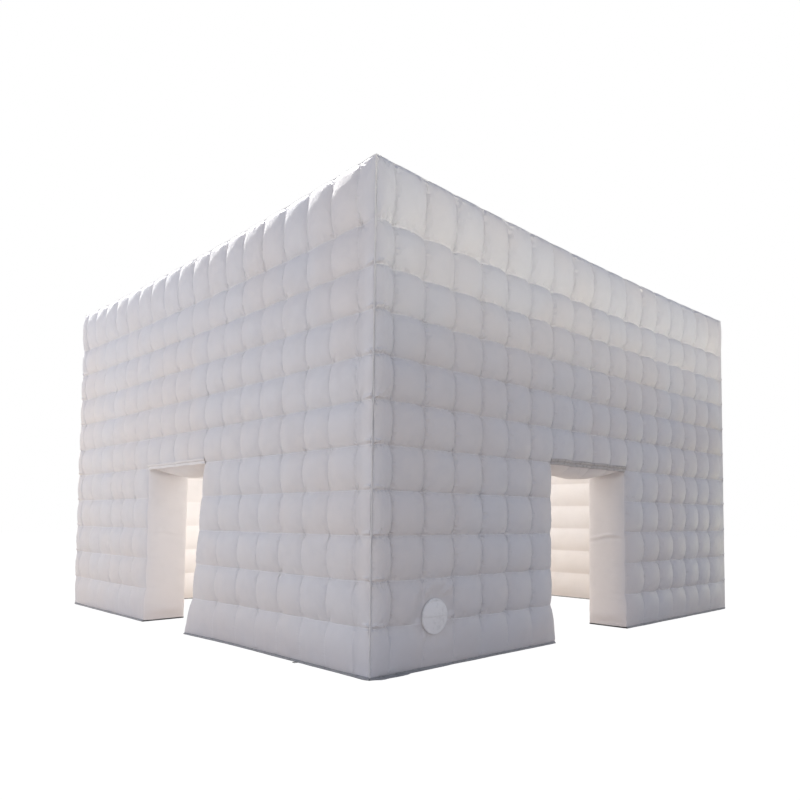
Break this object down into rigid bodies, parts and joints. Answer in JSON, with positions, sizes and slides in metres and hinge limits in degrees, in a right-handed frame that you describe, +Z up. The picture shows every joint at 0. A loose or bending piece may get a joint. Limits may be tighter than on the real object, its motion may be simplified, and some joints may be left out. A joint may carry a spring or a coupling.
{
  "type": "inflatable cube tent",
  "caption": "Flat-roofed inflatable tent with quilted double walls, open doorways in two adjoining sides, an inflation port, deflation zips and anchor loops.",
  "frame": {"origin": "centre of the footprint, on the ground", "axes": "+X along the front wall towards the right wall, +Y from the front wall to the back wall, +Z up"},
  "size_m": [8.13, 8.13, 5.107],
  "materials": {
    "outer_cloth": "white coated polyester cloth, satin, swollen into pillows",
    "inner_cloth": "white coated polyester cloth in level channels",
    "jamb_cloth": "white coated polyester cloth, smooth",
    "base_cloth": "dark grey heavy coated cloth",
    "web_cloth": "uncoated white polyester cloth",
    "piping_cord": "cloth-covered cord",
    "hem_tape": "grey hook-and-loop tape",
    "port_plastic": "flexible moulded plastic",
    "sleeve_cloth": "light coated cloth",
    "zip_tape": "woven zip tape with moulded teeth",
    "slider_metal": "die-cast slider and pull",
    "webbing": "black woven webbing"
  },
  "bodies": {
    "tent": {"front_left_outer_skin": "outer_cloth", "front_right_outer_skin": "outer_cloth", "front_header_outer_skin": "outer_cloth", "left_rear_outer_skin": "outer_cloth", "left_front_outer_skin": "outer_cloth", "left_header_outer_skin": "outer_cloth", "back_outer_skin": "outer_cloth", "right_outer_skin": "outer_cloth", "roof_outer_skin": "outer_cloth", "front_left_inner_skin": "inner_cloth", "front_right_inner_skin": "inner_cloth", "front_header_inner_skin": "inner_cloth", "left_rear_inner_skin": "inner_cloth", "left_front_inner_skin": "inner_cloth", "left_header_inner_skin": "inner_cloth", "back_inner_skin": "inner_cloth", "right_inner_skin": "inner_cloth", "ceiling_skin": "inner_cloth", "front_left_jamb": "jamb_cloth", "front_right_jamb": "jamb_cloth", "front_lintel": "jamb_cloth", "left_rear_jamb": "jamb_cloth", "left_front_jamb": "jamb_cloth", "left_lintel": "jamb_cloth", "front_door_hem": "hem_tape", "left_door_hem": "hem_tape", "front_left_base": "base_cloth", "front_right_base": "base_cloth", "right_base": "base_cloth", "back_base": "base_cloth", "left_rear_base": "base_cloth", "left_front_base": "base_cloth", "front_left_webs": "web_cloth", "front_right_webs": "web_cloth", "front_header_webs": "web_cloth", "left_rear_webs": "web_cloth", "left_front_webs": "web_cloth", "left_header_webs": "web_cloth", "back_webs": "web_cloth", "right_webs": "web_cloth", "roof_webs": "web_cloth", "front_left_corner_piping": "piping_cord", "front_right_corner_piping": "piping_cord", "back_right_corner_piping": "piping_cord", "back_left_corner_piping": "piping_cord", "eave_piping": "piping_cord", "port_collar": "port_plastic", "inflation_sleeve": "sleeve_cloth", "back_zip_tape": "zip_tape", "right_zip_tape": "zip_tape"},
    "port_cover": {"port_cover": "port_plastic"},
    "check_flap": {"check_flap": "sleeve_cloth"},
    "back_zip_slider": {"back_zip_slider": "slider_metal"},
    "right_zip_slider": {"right_zip_slider": "slider_metal"},
    "left_anchor_loop": {"left_anchor_loop": "webbing"},
    "back_anchor_loop": {"back_anchor_loop": "webbing"},
    "right_anchor_loop": {"right_anchor_loop": "webbing"}
  },
  "joints": [
    {"name": "port_cover_hinge", "type": "hinge", "parent": "tent", "child": "port_cover", "pos_m": [-3.19, -4.0553, 0.69], "axis": [-1, 0, 0], "range_deg": [0, 165]},
    {"name": "check_flap_hinge", "type": "hinge", "parent": "tent", "child": "check_flap", "pos_m": [-3.19, -3.7777, 0.648], "axis": [1, 0, 0], "range_deg": [0, 75]},
    {"name": "back_zip_slide", "type": "slide", "parent": "tent", "child": "back_zip_slider", "axis": [-1, 0, 0], "range_m": [0, 0.324]},
    {"name": "right_zip_slide", "type": "slide", "parent": "tent", "child": "right_zip_slider", "axis": [0, 1, 0], "range_m": [0, 0.324]},
    {"name": "left_anchor_hinge", "type": "hinge", "parent": "tent", "child": "left_anchor_loop", "pos_m": [-4.0003, -2.82, 0.004], "axis": [0, 1, 0], "range_deg": [0, 70]},
    {"name": "back_anchor_hinge", "type": "hinge", "parent": "tent", "child": "back_anchor_loop", "pos_m": [-2.82, 4.0003, 0.004], "axis": [1, 0, 0], "range_deg": [0, 70]},
    {"name": "right_anchor_hinge", "type": "hinge", "parent": "tent", "child": "right_anchor_loop", "pos_m": [4.0003, 2.82, 0.004], "axis": [0, -1, 0], "range_deg": [0, 70]}
  ]
}
